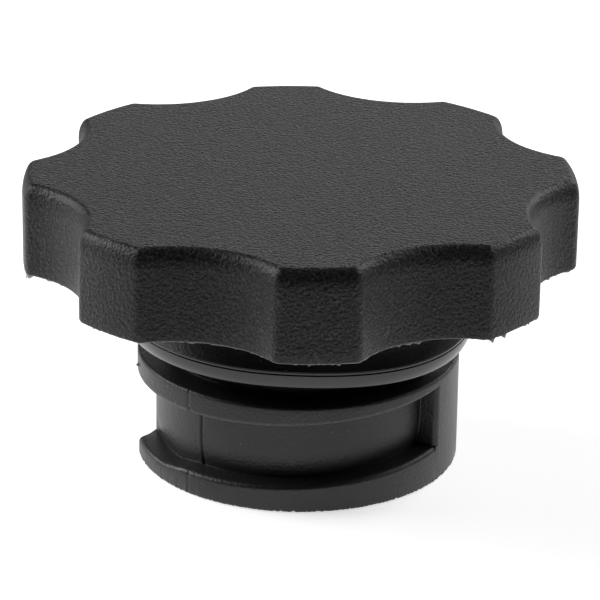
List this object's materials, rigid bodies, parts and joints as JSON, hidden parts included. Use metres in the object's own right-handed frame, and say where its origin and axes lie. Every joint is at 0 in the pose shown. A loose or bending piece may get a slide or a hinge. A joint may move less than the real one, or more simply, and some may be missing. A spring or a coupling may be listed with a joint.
{
  "type": "oil filler cap",
  "caption": "Lobed hand-grip filler cap with a flat top, on a bayonet neck with rising grooves and a rubber seal ring.",
  "frame": {"origin": "on the cap's axis, at the foot of the neck", "axes": "+Z along the axis towards the flat top of the grip, +X through the middle of one lobe"},
  "size_m": [0.076, 0.076, 0.041],
  "materials": {
    "grained_nylon": "black glass-filled nylon with a coarse spark-eroded grain",
    "satin_nylon": "black glass-filled nylon, fine satin",
    "seal_rubber": "black moulded rubber, satin"
  },
  "bodies": {
    "root": {"grip_cover": "grained_nylon", "bayonet_neck": "satin_nylon", "seal_ring": "seal_rubber"}
  },
  "joints": []
}
